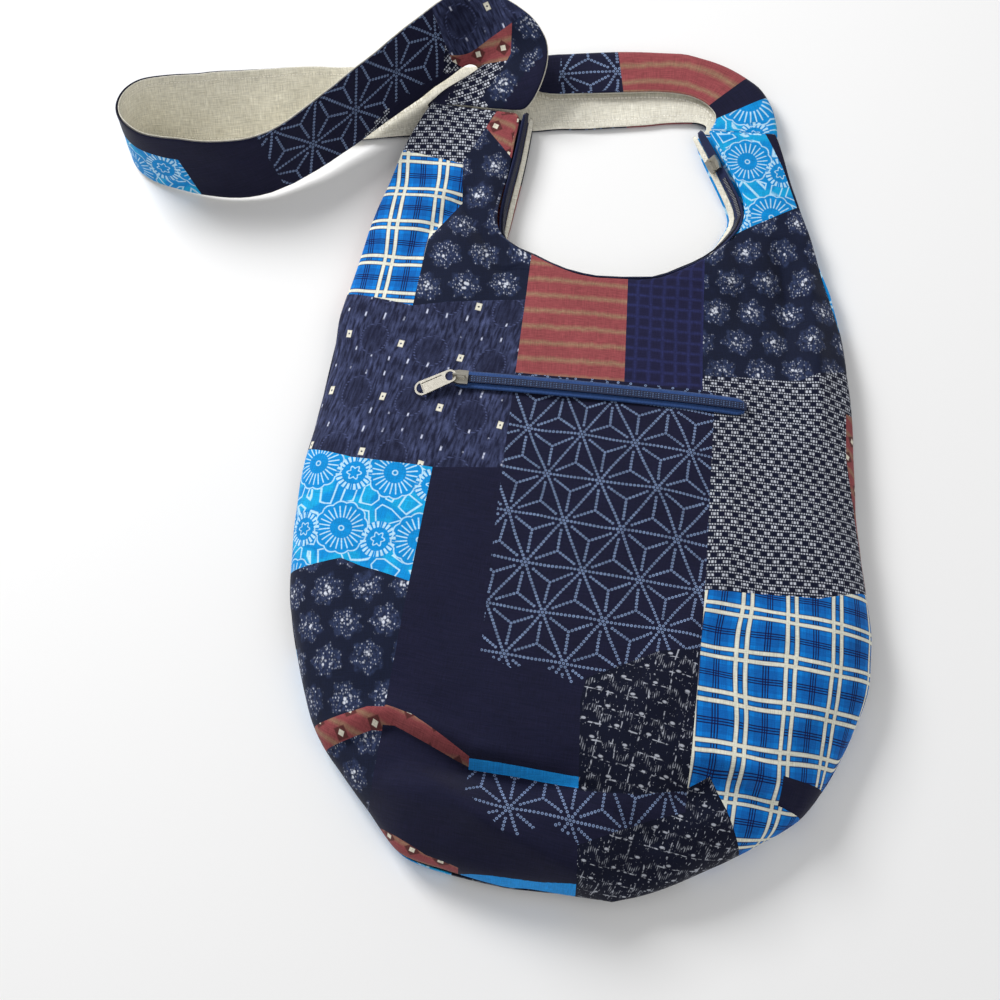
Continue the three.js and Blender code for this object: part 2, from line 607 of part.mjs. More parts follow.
// The pull lies along -X. Its ring's bar is at the origin, and its far end has an eye beyond a thinner panel.
function pullSolid() {
  const ring = pullWidth * 0.448;
  const end = pullWidth / 2;
  const ringX = -ring + pullBar / 2;
  const endX = -pullLength + end;
  const outline = new THREE.Shape();
  outline.absarc(ringX, 0, ring, Math.PI / 2, -Math.PI / 2, true);
  outline.absarc(endX, 0, end, -Math.PI / 2, -1.5 * Math.PI, true);
  outline.closePath();
  const hole = new THREE.Path();
  hole.absarc(ringX, 0, ring - pullBar, 0, 2 * Math.PI, false);
  const eye = new THREE.Path();
  eye.absarc(endX, 0, end - pullBar, Math.PI / 2, 1.5 * Math.PI, false);
  eye.closePath();
  outline.holes.push(hole, eye);
  const from = endX + pullBar / 2;
  const to = ringX - ring - pullBar / 4;
  const panel = rectangle(new THREE.Shape(), from, -ring + pullBar, to, ring - pullBar);
  const recess = raised(panel, 0.1, pullSheet);
  return solidOf(raised(outline, -pullSheet / 2, pullSheet / 2)).subtract(solidOf(recess));
}

const sliderX = zipFrom + sliderLength / 2;
const sliderCorner = (a, b) =>
  frontHeight(sliderX + (a * sliderLength) / 2, zipY + (b * sliderWidth) / 2);
const highest = Math.max(...[-1, 1].flatMap((a) => [-1, 1].map((b) => sliderCorner(a, b))));
const sliderSeat = highest + tapeTop + seamGap;
const pocketSlider = meshOfSolid("pocket_zip_slider", sliderSolid(), nickel);
pocketSlider.position.set(sliderX, zipY, sliderSeat);
bag.add(pocketSlider);

// The pull hangs from the bridge and its far end rests on the front panel.
const pullTurn = THREE.MathUtils.degToRad(pullAngle);
const barX = zipFrom + bridgeSheet + seamGap + pullBar / 2;
const barY = zipY + pullAside;
const barZ = sliderSeat + sliderBlock + pullLift;
const farX = barX + pullLength * Math.cos(pullTurn);
const farY = barY + pullLength * Math.sin(pullTurn);
const farZ = frontHeight(farX, farY) + pullSheet / 2 + 2 * seamGap;
const pocketPull = meshOfSolid("pocket_zip_pull", pullSolid(), nickel);
pocketPull.rotation.set(0, Math.atan2(farZ - barZ, pullLength), pullTurn - Math.PI, "ZYX");
pocketPull.position.set(barX, barY, barZ);
bag.add(pocketPull);

// The mouth's slider sits near the right end of its zip, with its bridge turned to the mouth.
const mouthPlace = { t: mouthRow + 6.3, side: 1 };
const mouthSlider = meshOfSolid("mouth_zip_slider", sliderSolid(), nickel);
const seat = mouthPoint(mouthPlace, 0.4, mouthCloth + 2 * seamGap);
const outward = mouthPoint(mouthPlace, 0.4, mouthCloth + 10).sub(seat).normalize();
const upward = mouthPoint({ ...mouthPlace, t: mouthPlace.t + 0.4 }, 0.4, mouthCloth).sub(seat);
const across = outward.clone().cross(upward).normalize();
const alongMouth = across.clone().cross(outward);
mouthSlider.applyMatrix4(new THREE.Matrix4().makeBasis(alongMouth, across, outward).setPosition(seat));
bag.add(mouthSlider);

export default bag;
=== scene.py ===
import math

import bpy
import numpy as np
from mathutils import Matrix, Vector
from mathutils.kdtree import KDTree


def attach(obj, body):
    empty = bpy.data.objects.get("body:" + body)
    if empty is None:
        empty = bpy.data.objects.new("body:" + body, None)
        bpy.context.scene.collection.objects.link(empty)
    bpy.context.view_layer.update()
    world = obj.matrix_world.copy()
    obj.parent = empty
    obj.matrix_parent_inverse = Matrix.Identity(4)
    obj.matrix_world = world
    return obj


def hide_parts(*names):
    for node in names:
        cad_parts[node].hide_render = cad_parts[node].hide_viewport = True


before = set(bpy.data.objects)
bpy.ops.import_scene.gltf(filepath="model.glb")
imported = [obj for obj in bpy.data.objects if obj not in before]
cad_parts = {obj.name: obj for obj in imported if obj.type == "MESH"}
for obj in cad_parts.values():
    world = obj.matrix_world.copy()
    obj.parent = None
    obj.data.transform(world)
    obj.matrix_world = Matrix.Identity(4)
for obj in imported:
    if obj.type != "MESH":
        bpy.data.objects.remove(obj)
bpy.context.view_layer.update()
bpy.ops.object.select_all(action="DESELECT")


# The camera stands at the foot of the bag and looks down on it, as in the photograph.
camera_place = Vector((-0.0099, -0.3875, 1.2216))
aim_place = Vector((-0.0564, 0.0547, 0))
bpy.ops.object.camera_add(location=camera_place)
camera = bpy.context.object
camera.name = "camera"
camera.data.lens = 73.125
camera.data.sensor_width = 36
camera.rotation_euler = (aim_place - camera_place).to_track_quat("-Z", "Y").to_euler()
bpy.context.scene.camera = camera


# The front panel is the upper half of the body and of both legs: one piece of cotton with a
# patchwork print, cut to a drop shape with a scooped mouth. It is sewn to the back panel round
# its outer edge, and two darts take in its rounded bottom.
def cloth_copy(node, name):
    """A copy of a cloth node of the frame, welded and in four-sided faces."""
    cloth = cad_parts[node].copy()
    cloth.data = cloth.data.copy()
    cloth.name = name
    cloth.data.name = name
    cloth.parent = None
    for key in list(cloth.keys()):
        del cloth[key]
    cloth.data.materials.clear()
    bpy.context.scene.collection.objects.link(cloth)
    bpy.ops.object.select_all(action="DESELECT")
    bpy.context.view_layer.objects.active = cloth
    cloth.select_set(True)
    bpy.ops.object.mode_set(mode="EDIT")
    bpy.ops.mesh.select_all(action="SELECT")
    bpy.ops.mesh.remove_doubles(threshold=0.00001)
    bpy.ops.mesh.tris_convert_to_quads(face_threshold=1.2, shape_threshold=1.2)
    bpy.ops.object.mode_set(mode="OBJECT")
    return cloth


def lay_flat(cloth, across=None):
    """Unwraps the cloth at its sharp rims, and sizes its UV map in metres.

    across is 1 or -1, the way the map's width runs along X, or None where its length follows a band."""
    sharp_rim = math.radians(62)
    bpy.ops.object.mode_set(mode="EDIT")
    bpy.ops.mesh.select_mode(type="EDGE")
    bpy.ops.mesh.select_all(action="DESELECT")
    bpy.ops.mesh.edges_select_sharp(sharpness=sharp_rim)
    bpy.ops.mesh.mark_seam()
    bpy.ops.mesh.select_mode(type="FACE")
    bpy.ops.mesh.select_all(action="SELECT")
    bpy.ops.uv.unwrap(method="ANGLE_BASED", margin=0.01)
    bpy.ops.object.mode_set(mode="OBJECT")
    mesh = cloth.data
    places = np.array([v.co for v in mesh.vertices])
    seams = {e.index for e in mesh.edges if e.use_seam}
    edge_of = [mesh.loops[i].edge_index for i in range(len(mesh.loops))]
    faces_at = {}
    for face in mesh.polygons:
        for loop in face.loop_indices:
            if edge_of[loop] not in seams:
                faces_at.setdefault(edge_of[loop], []).append(face.index)
    neighbours = {face.index: [] for face in mesh.polygons}
    for pair in faces_at.values():
        if len(pair) == 2:
            neighbours[pair[0]].append(pair[1])
            neighbours[pair[1]].append(pair[0])
    uvs = mesh.uv_layers.active.data
    left = set(neighbours)
    while left:
        island = {left.pop()}
        edge = list(island)
        while edge:
            reached = {n for f in edge for n in neighbours[f] if n in left}
            left.difference_update(reached)
            island.update(reached)
            edge = reached
        loops = [i for f in island for i in mesh.polygons[f].loop_indices]
        flat = np.array([complex(*uvs[i].uv) for i in loops])
        real = places[[mesh.loops[i].vertex_index for i in loops]]
        flat -= flat.mean()
        if across is None:
            area = sum(mesh.polygons[f].area for f in island)
            shown = 0
            for f in island:
                ring = [complex(*uvs[i].uv) for i in mesh.polygons[f].loop_indices]
                shown += 0.5 * sum((a.conjugate() * b).imag for a, b in zip(ring, ring[1:] + ring[:1]))
            turn = math.sqrt(area / max(1e-12, abs(shown)))
            spread = np.sqrt((flat**2).mean())
            flat = flat * turn * np.conj(spread) / abs(spread)
        else:
            goal = real[:, 0] * across + 1j * real[:, 1]
            middle = goal.mean()
            turn = (np.conj(flat) * (goal - middle)).sum() / (np.abs(flat) ** 2).sum()
            flat = flat * turn + middle
        for i, place in zip(loops, flat):
            uvs[i].uv = (place.real, place.imag)


def smoothed(cloth, levels):
    """Rounds the cloth with a Subdivision Surface of that many levels."""
    rounding = cloth.modifiers.new("rounding", "SUBSURF")
    rounding.levels = levels
    rounding.render_levels = levels
    rounding.use_limit_surface = False
    bpy.ops.object.select_all(action="DESELECT")
    bpy.context.view_layer.objects.active = cloth
    cloth.select_set(True)
    bpy.ops.object.modifier_apply(modifier=rounding.name)
    bpy.ops.object.shade_smooth()


def rumple(cloth, size, height):
    """Soft, irregular waves of that size in metres all over the cloth."""
    waves = bpy.data.textures.new(cloth.name + "_waves", "CLOUDS")
    waves.noise_scale = size
    waves.noise_depth = 1
    waves.cloud_type = "COLOR"
    rumpling = cloth.modifiers.new("rumpling", "DISPLACE")
    rumpling.texture = waves
    rumpling.texture_coords = "LOCAL"
    rumpling.direction = "RGB_TO_XYZ"
    rumpling.strength = height
    bpy.context.view_layer.objects.active = cloth
    bpy.ops.object.modifier_apply(modifier=rumpling.name)


def crease(cloth, line, height, width, blunt):
    """Raises (or with a negative height sinks) the cloth along a line seen from above."""
    mesh = cloth.data
    places = np.zeros(len(mesh.vertices) * 3)
    mesh.vertices.foreach_get("co", places)
    places = places.reshape(-1, 3)
    nearest = np.full(len(places), np.inf)
    total = sum(math.dist(a, b) for a, b in zip(line, line[1:]))
    gone = 0
    share = np.zeros(len(places))
    for a, b in zip(line, line[1:]):
        a = np.array(a)
        b = np.array(b)
        length = np.linalg.norm(b - a)
        along = np.clip(((places[:, :2] - a) @ (b - a)) / length**2, 0, 1)
        away = np.linalg.norm(places[:, :2] - a - along[:, None] * (b - a), axis=1)
        closer = away < nearest
        nearest[closer] = away[closer]
        share[closer] = (gone + along[closer] * length) / total
        gone += length
    # The fold fades out towards both ends of its line.
    fade = np.sin(np.pi * np.clip(share, 0.03, 0.97)) ** 0.6
    places[:, 2] += height * fade * np.exp(-((nearest / width) ** blunt))
    mesh.vertices.foreach_set("co", places.ravel())
    mesh.update()


def faces_of(mesh):
    """The material slot and the middle of each face."""
    slot_of = np.zeros(len(mesh.polygons), np.int32)
    middles = np.zeros(len(mesh.polygons) * 3)
    mesh.polygons.foreach_get("material_index", slot_of)
    mesh.polygons.foreach_get("center", middles)
    return slot_of, middles.reshape(-1, 3)


MM = 0.001
SEEN_FROM_ABOVE = (1, 1, 0)
CUT_OVERLAP = 3 * MM


def cut_patch(cloth, patch, line, new_patch):
    """Cuts one patch along a line seen from above, in mm. Its left side is the new patch."""
    mesh = cloth.data
    slots = patches[cloth.name]
    if new_patch not in slots:
        slots[new_patch] = len(slots)
        mesh.materials.append(prints[new_patch.rstrip("0123456789")])
    line = [Vector((x * MM, y * MM, 0)) for x, y in line]
    last = len(line) - 2
    bpy.context.view_layer.objects.active = cloth
    for step in range(last + 1):
        slot_of, centres = faces_of(mesh)
        start, end = line[step], line[step + 1]
        run = (end - start).normalized()
        along = (centres * SEEN_FROM_ABOVE - np.array(start)) @ np.array(run)
        chosen = slot_of == slots[patch]
        if step > 0:
            chosen &= along > -CUT_OVERLAP
        if step < last:
            chosen &= along < (end - start).length + CUT_OVERLAP
        mesh.polygons.foreach_set("select", chosen)
        bpy.ops.object.mode_set(mode="EDIT")
        bpy.ops.mesh.bisect(plane_co=start, plane_no=(-run.y, run.x, 0), use_fill=False)
        bpy.ops.object.mode_set(mode="OBJECT")
    slot_of, centres = faces_of(mesh)
    centres = centres * SEEN_FROM_ABOVE
    nearest = np.full(len(centres), np.inf)
    beyond = np.zeros(len(centres), bool)
    for step in range(last + 1):
        start, end = np.array(line[step]), np.array(line[step + 1])
        length = np.linalg.norm(end - start)
        run = (end - start) / length
        along = (centres - start) @ run
        # The first and the last run go on past the cloth.
        held = np.clip(along, -np.inf if step == 0 else 0, np.inf if step == last else length)
        away = np.linalg.norm(centres - start - held[:, None] * run, axis=1)
        side = (centres - start) @ np.array((-run[1], run[0], 0))
        # At a corner of the line the face takes the side of the run that it lies beside.
        away += 1e-6 * np.abs(along - held) - 1e-7 * np.abs(side)
        closer = away < nearest
        nearest[closer] = away[closer]
        beyond[closer] = side[closer] > 0
    slot_of[(slot_of == slots[patch]) & beyond] = slots[new_patch]
    mesh.polygons.foreach_set("material_index", slot_of)
    mesh.update()


def node(material, kind, values=(), **settings):
    """A shader node, whose inputs are set from numbers, colours or other nodes' outputs."""
    made = material.node_tree.nodes.new(kind)
    for name, value in settings.items():
        setattr(made, name, value)
    for place, value in (values.items() if isinstance(values, dict) else enumerate(values)):
        if isinstance(value, bpy.types.NodeSocket):
            material.node_tree.links.new(value, made.inputs[place])
        else:
            made.inputs[place].default_value = value
    return made


def maths(material, operation, *values):
    """The result of one Math node."""
    return node(material, "ShaderNodeMath", values, operation=operation).outputs[0]


def apart(material, value, other):
    """How far two values are from each other."""
    return maths(material, "ABSOLUTE", maths(material, "SUBTRACT", value, other))


def clamped(material, value):
    """A value held between 0 and 1."""
    return node(material, "ShaderNodeClamp", [value]).outputs[0]


def length_of(material, across, along):
    """The length of a step with these two sides."""
    square = maths(material, "MULTIPLY", along, along)
    return maths(material, "SQRT", maths(material, "MULTIPLY_ADD", across, across, square))


def cloudy(material, place, wide, long, detail=3.0):
    """Smooth noise, with its own scale across and along the cloth."""
    stretched = node(material, "ShaderNodeMapping", {0: place, 3: (wide, long, 1)}).outputs[0]
    return node(material, "ShaderNodeTexNoise", {0: stretched, "Scale": 1.0, "Detail": detail}).outputs[0]


def blend_of(material, share, under, over, blend_type="MIX"):
    """Two colours laid over each other. Inputs 6 and 7 of the node are its two colours."""
    values = {0: share, 6: under, 7: over}
    made = node(material, "ShaderNodeMix", values, data_type="RGBA", blend_type=blend_type)
    return made.outputs[2]


def colour(red, green, blue):
    """A colour given in 0 to 255, as linear light."""
    return tuple((c / 255) ** 2.2 for c in (red, green, blue)) + (1,)


def printed_cotton(name, draw, turn=0.0, shift=(0, 0), rough=0.86):
    """A patch of the print. draw returns its colour from the two directions of the cloth, in mm."""
    material = bpy.data.materials.new(name)
    material.use_nodes = True
    material.node_tree.nodes.clear()
    place = node(material, "ShaderNodeUVMap", uv_map="UVMap").outputs[0]
    turned = node(
        material,
        "ShaderNodeMapping",
        {0: place, 1: (shift[0], shift[1], 0), 2: (0, 0, math.radians(turn)), 3: (1000, 1000, 1)},
    ).outputs[0]
    split = node(material, "ShaderNodeSeparateXYZ", [turned])
    dye = draw(material, split.outputs[0], split.outputs[1], turned)
    # Warp and weft threads, thicker here and thinner there.
    warp = cloudy(material, turned, 2.1, 0.12, 2.0)
    weft = cloudy(material, turned, 0.12, 2.1, 2.0)
    thread = maths(material, "ADD", warp, weft)
    faded = node(material, "ShaderNodeTexNoise", {0: turned, "Scale": 0.03, "Detail": 3.0}).outputs[0]
    light = maths(material, "MULTIPLY_ADD", thread, 0.8, 0.2)
    light = maths(material, "MULTIPLY_ADD", faded, 0.35, maths(material, "SUBTRACT", light, 0.17))
    tint = node(material, "ShaderNodeCombineColor", [light, light, light]).outputs[0]
    shaded = blend_of(material, 1, dye, tint, blend_type="MULTIPLY")
    weave = {"Strength": 0.35, "Distance": 0.3 * MM, "Height": thread}
    bump = node(material, "ShaderNodeBump", weave).outputs[0]
    surface = node(material, "ShaderNodeBsdfPrincipled")
    surface.inputs["Roughness"].default_value = rough
    surface.inputs["Specular IOR Level"].default_value = 0.15
    surface.inputs["Sheen Weight"].default_value = 0.1
    surface.inputs["Sheen Roughness"].default_value = 0.45
    material.node_tree.links.new(shaded, surface.inputs["Base Color"])
    material.node_tree.links.new(bump, surface.inputs["Normal"])
    node(material, "ShaderNodeOutputMaterial", [surface.outputs[0]])
    return material


def near(material, value, period, phase=0.0):
    """How far a value is from the nearest of evenly spaced lines."""
    moved = maths(material, "ADD", value, phase + period / 2)
    return apart(material, maths(material, "FLOORED_MODULO", moved, period), period / 2)


def stroke(material, distance, half, soft=0.25):
    """1 inside a line of that half width and 0 outside it."""
    edge = maths(material, "DIVIDE", maths(material, "SUBTRACT", half, distance), soft)
    return clamped(material, maths(material, "ADD", edge, 0.5))


def turned_by(material, u, v, degrees):
    """The place along and across a direction."""
    c = math.cos(math.radians(degrees))
    s = math.sin(math.radians(degrees))
    along = maths(material, "MULTIPLY_ADD", u, c, maths(material, "MULTIPLY", v, s))
    across = maths(material, "MULTIPLY_ADD", v, c, maths(material, "MULTIPLY", u, -s))
    return along, across


INK = colour(18, 23, 44)
PURPLE = colour(34, 33, 56)
WHITE_INK = colour(205, 210, 222)


def draw_plain(material, u, v, place):
    """Navy with a slub along the weft."""
    return blend_of(material, cloudy(material, place, 0.05, 0.9), INK, PURPLE)


def draw_asanoha(material, u, v, place):
    """The hemp-leaf star in rows of little rings."""
    star = 34.0
    high = star * math.sqrt(3) / 2
    rings_a_side = 15
    rings_a_ray = 13.5
    ring_radius = 0.58
    ring = None
    for degrees in (0, 60, 120):
        along, across = turned_by(material, u, v, degrees)
        row = maths(material, "ROUND", maths(material, "DIVIDE", across, high))
        odd = maths(material, "MULTIPLY", row, star / 2)
        dot = near(material, maths(material, "ADD", along, odd), star / rings_a_side)
        off = near(material, across, high)
        far = length_of(material, dot, off)
        ring = far if ring is None else maths(material, "MINIMUM", ring, far)
    for degrees in (90, 30, 150):
        along, across = turned_by(material, u, v, degrees)
        row = maths(material, "ROUND", maths(material, "DIVIDE", across, star / 2))
        along = maths(material, "MULTIPLY_ADD", row, high, along)
        away = near(material, along, 2 * high)
        dot = near(material, away, high / rings_a_ray)
        # The ray stops short of its star's middle and ends where three rays meet.
        outside = maths(material, "SUBTRACT", away, high * 2 / 3)
        inside = maths(material, "SUBTRACT", high * 0.2, away)
        beyond = maths(material, "MAXIMUM", maths(material, "MAXIMUM", outside, inside), 0.0)
        far = length_of(material, dot, near(material, across, star / 2))
        far = maths(material, "MULTIPLY_ADD", beyond, 4.0, far)
        ring = maths(material, "MINIMUM", ring, far)
    ink = stroke(material, apart(material, ring, ring_radius), 0.25, 0.25)
    worn = node(material, "ShaderNodeTexNoise", {0: place, "Scale": 0.12, "Detail": 2.0}).outputs[0]
    share = maths(material, "MULTIPLY", ink, maths(material, "MULTIPLY_ADD", worn, 0.8, 0.35))
    base = draw_plain(material, u, v, place)
    return blend_of(material, share, base, colour(138, 160, 200))


def draw_plaid(material, u, v, place):
    """Bright blue with doubled cream stripes and thin triple navy lines."""
    dye = colour(14, 124, 212)
    checks = ((u, 28.0), (v, 27.0))
    line_gap = 1.5
    stripe_off = 2.7
    for value, period in checks:
        band = stroke(material, near(material, value, period), 6.6, 0.4)
        dye = blend_of(material, maths(material, "MULTIPLY", band, 0.35), dye, colour(12, 66, 140))
    for value, period in checks:
        middle = near(material, value, period)
        line = stroke(material, middle, 0.34, 0.3)
        beside = stroke(material, apart(material, middle, line_gap), 0.34, 0.3)
        dye = blend_of(material, maths(material, "MAXIMUM", line, beside), dye, colour(18, 22, 70))
    for value, period in checks:
        stripe = apart(material, near(material, value, period, period / 2), stripe_off)
        shade = maths(material, "MULTIPLY", stroke(material, stripe, 1.75, 0.4), 0.8)
        dye = blend_of(material, shade, dye, colour(22, 40, 80))
    for value, period in checks:
        stripe = apart(material, near(material, value, period, period / 2), stripe_off)
        dye = blend_of(material, stroke(material, stripe, 1.1, 0.5), dye, colour(222, 222, 206))
    return dye


def draw_dense(material, u, v, place):
    """Close rows of white dashes."""
    row_pitch = 4.4
    group_pitch = 8.7
    fine = stroke(material, near(material, v, row_pitch), 0.42, 0.4)
    dash = stroke(material, near(material, u, 1.7), 0.5, 0.4)
    rows = maths(material, "MULTIPLY", fine, dash)
    # The bold rows lie between the fine ones. Each is shifted against the next.
    lower = maths(material, "ADD", v, row_pitch / 2)
    row = maths(material, "ROUND", maths(material, "DIVIDE", lower, row_pitch))
    slip = maths(material, "MULTIPLY", row, 3.7)
    bold = stroke(material, near(material, v, row_pitch, row_pitch / 2), 0.85, 0.5)
    group = stroke(material, near(material, maths(material, "ADD", u, slip), group_pitch), 2.2, 0.5)
    block = maths(material, "MULTIPLY", group, stroke(material, near(material, u, 2.17), 0.72, 0.5))
    rows = maths(material, "MAXIMUM", rows, maths(material, "MULTIPLY", bold, block))
    worn = maths(material, "MULTIPLY_ADD", cloudy(material, place, 0.9, 0.9, 2.0), 1.5, 0.05)
    rows = clamped(material, maths(material, "MULTIPLY", rows, worn))
    return blend_of(material, rows, INK, colour(214, 219, 230))


def scattered(material, place, wide, long, uneven):
    """How far a place is from the nearest of many scattered points."""
    stretched = node(material, "ShaderNodeMapping", {0: place, 3: (wide, long, 1)}).outputs[0]
    points = {0: stretched, "Scale": 1.0, "Randomness": uneven}
    return node(material, "ShaderNodeTexVoronoi", points).outputs[0]


def draw_floral(material, u, v, place):
    """Round, petalled clusters of broken white dots, in staggered rows."""
    column_pitch = 25.0
    row_pitch = 23.0
    petals = 7.0
    # Both directions waver, so that no two flowers are the same.
    warp = maths(material, "MULTIPLY_ADD", cloudy(material, place, 0.11, 0.11), 7.0, u)
    weft = maths(material, "MULTIPLY_ADD", cloudy(material, place, 0.09, 0.13), 7.0, v)
    row = maths(material, "ROUND", maths(material, "DIVIDE", weft, row_pitch))
    stagger = maths(material, "MULTIPLY_ADD", row, column_pitch / 2, warp)
    column = maths(material, "ROUND", maths(material, "DIVIDE", stagger, column_pitch))
    across = maths(material, "SUBTRACT", stagger, maths(material, "MULTIPLY", column, column_pitch))
    along = maths(material, "SUBTRACT", weft, maths(material, "MULTIPLY", row, row_pitch))
    away = length_of(material, across, along)
    angle = maths(material, "ARCTAN2", along, across)
    petal = maths(material, "COSINE", maths(material, "MULTIPLY", angle, petals))
    reach = maths(material, "MULTIPLY_ADD", petal, 1.1, away)
    flower = stroke(material, reach, 9.4, 2.2)
    heart = stroke(material, away, 3.6, 1.6)
    dots = stroke(material, scattered(material, place, 0.72, 0.5, 0.75), 0.3, 0.16)
    bold = stroke(material, scattered(material, place, 0.42, 0.34, 0.8), 0.4, 0.2)
    bold = maths(material, "MULTIPLY", bold, heart)
    broken = maths(material, "MULTIPLY_ADD", cloudy(material, place, 0.5, 0.3), 2.6, -0.75)
    broken = clamped(material, broken)
    ink = maths(material, "MULTIPLY", maths(material, "MULTIPLY", dots, flower), broken)
    ink = maths(material, "MAXIMUM", maths(material, "MULTIPLY", ink, 0.85), bold)
    mist = maths(material, "MULTIPLY", flower, maths(material, "MULTIPLY", broken, 0.45))
    base = blend_of(material, mist, colour(24, 30, 50), colour(68, 82, 122))
    return blend_of(material, ink, base, WHITE_INK)


def draw_cross(material, u, v, place):
    """Broken white lines both ways, with bold spots and streaked moons between them."""
    row_pitch = 9.6
    column_pitch = 11.4
    spot_pitch = 19.0
    moon_radius = 3.2
    ragged = cloudy(material, place, 0.28, 0.28)
    level = maths(material, "MULTIPLY_ADD", cloudy(material, place, 0.06, 0.3), 3.0, v)
    upright = maths(material, "MULTIPLY_ADD", cloudy(material, place, 0.3, 0.06), 3.0, u)
    level = stroke(material, near(material, level, row_pitch), 0.34, 0.3)
    upright = stroke(material, near(material, upright, column_pitch), 0.3, 0.3)
    lines = maths(material, "MAXIMUM", level, upright)
    lines = maths(material, "MULTIPLY", lines, stroke(material, ragged, 0.46, 0.08))
    row = maths(material, "ROUND", maths(material, "DIVIDE", v, row_pitch))
    stagger = maths(material, "MULTIPLY_ADD", row, 7.2, u)
    across = near(material, stagger, spot_pitch, 4.0)
    along = near(material, v, row_pitch)
    spot = length_of(material, maths(material, "MULTIPLY", across, 0.55), along)
    spot = stroke(material, spot, 0.75, 0.4)
    moon_u = near(material, stagger, spot_pitch, 12.0)
    moon_v = near(material, v, 2 * row_pitch, 5.0)
    moon = length_of(material, moon_u, moon_v)
    rim = stroke(material, apart(material, moon, moon_radius), 1.0, 1.4)
    streak = stroke(material, near(material, u, 1.25), 0.22, 0.3)
    patchy = stroke(material, cloudy(material, place, 0.5, 0.2), 0.5, 0.2)
    streak = maths(material, "MULTIPLY", maths(material, "MULTIPLY", rim, streak), patchy)
    ink = maths(material, "MAXIMUM", maths(material, "MAXIMUM", lines, spot), streak)
    speck = stroke(material, cloudy(material, place, 0.8, 0.35), 0.34, 0.04)
    ink = maths(material, "MAXIMUM", ink, maths(material, "MULTIPLY", speck, 0.8))
    return blend_of(material, maths(material, "MULTIPLY", ink, 0.65), colour(18, 22, 40), WHITE_INK)


def draw_squares(material, u, v, place):
    """Dark rounds on faint violet streaks, small cream squares and short dashes."""
    column_pitch = 38.0
    row_pitch = 40.0
    round_radius = 9.6
    far_u = near(material, u, column_pitch)
    far_v = near(material, v, row_pitch)
    across = near(material, u, column_pitch, column_pitch / 2)
    ring = length_of(material, across, maths(material, "MULTIPLY", far_v, 0.85))
    streaks = cloudy(material, place, 0.55, 0.11)
    patchy = cloudy(material, place, 0.05, 0.09)
    haze = maths(material, "MULTIPLY", maths(material, "MULTIPLY_ADD", streaks, 3.0, -1.15), patchy)
    outside = stroke(material, maths(material, "SUBTRACT", 21.0, ring), 11.0, 5.0)
    haze = maths(material, "MULTIPLY", haze, maths(material, "MULTIPLY_ADD", outside, 0.6, 0.4))
    outline = stroke(material, apart(material, ring, round_radius), 0.5, 0.8)
    dashes = stroke(material, near(material, v, 2.0), 0.55, 0.4)
    outline = maths(material, "MULTIPLY", maths(material, "MULTIPLY", outline, dashes), 0.5)
    share = clamped(material, maths(material, "MAXIMUM", haze, outline))
    dye = blend_of(material, share, colour(29, 32, 54), colour(92, 102, 146))
    square = maths(material, "MAXIMUM", far_u, maths(material, "MULTIPLY", far_v, 0.66))
    square = stroke(material, square, 1.7, 0.4)
    hole = stroke(material, maths(material, "ADD", far_u, far_v), 0.8, 0.6)
    square = maths(material, "MULTIPLY", square, maths(material, "SUBTRACT", 1.0, hole))
    dye = blend_of(material, square, dye, colour(224, 220, 202))
    slip = maths(material, "MULTIPLY_ADD", cloudy(material, place, 0.04, 0.04), 16.0, v)
    dash_u = near(material, u, 12.7, 4.0)
    dash_v = near(material, slip, 13.4, 3.0)
    dash = maths(material, "MAXIMUM", dash_u, maths(material, "MULTIPLY", dash_v, 0.33))
    dash = stroke(material, dash, 0.5, 0.4)
    band = stroke(material, near(material, v, row_pitch, row_pitch / 2), 12.0, 3.0)
    dash = maths(material, "MULTIPLY", dash, band)
    dash = maths(material, "MULTIPLY", dash, stroke(material, patchy, 0.52, 0.06))
    return blend_of(material, dash, dye, colour(196, 202, 224))


def draw_red_tan(material, u, v, place):
    """Brick red with soft bands of tan."""
    wavy = maths(material, "MULTIPLY_ADD", cloudy(material, place, 0.16, 0.05), 2.6, v)
    band = stroke(material, near(material, wavy, 12.0), 1.5, 2.6)
    ragged = cloudy(material, place, 0.45, 0.9, 2.0)
    share = maths(material, "MULTIPLY", band, maths(material, "MULTIPLY_ADD", ragged, 1.3, 0.1))
    share = clamped(material, share)
    slub = cloudy(material, place, 0.2, 1.6)
    red = blend_of(material, slub, colour(116, 54, 60), colour(160, 84, 86))
    return blend_of(material, share, red, colour(146, 118, 94))


def draw_red_squares(material, u, v, place):
    """Brick red with dark diamonds and small cream squares."""
    base = draw_red_tan(material, u, v, place)
    away = maths(material, "ADD", near(material, u, 17.0), near(material, v, 15.0))
    dye = blend_of(material, stroke(material, away, 5.0, 1.0), base, colour(92, 50, 50))
    inner = maths(material, "MAXIMUM", near(material, u, 17.0), near(material, v, 15.0))
    return blend_of(material, stroke(material, inner, 1.6, 0.4), dye, colour(224, 218, 200))


def draw_checked(material, u, v, place):
    """Navy slub with a faint check."""
    upright = stroke(material, near(material, u, 8.6), 1.0, 1.6)
    level = stroke(material, near(material, v, 8.2), 1.0, 1.6)
    lines = maths(material, "MAXIMUM", upright, level)
    ragged = node(material, "ShaderNodeTexNoise", {0: place, "Scale": 0.5, "Detail": 3.0}).outputs[0]
    share = maths(material, "MULTIPLY", lines, maths(material, "MULTIPLY", ragged, 0.9))
    return blend_of(material, share, colour(32, 32, 60), colour(48, 54, 104))


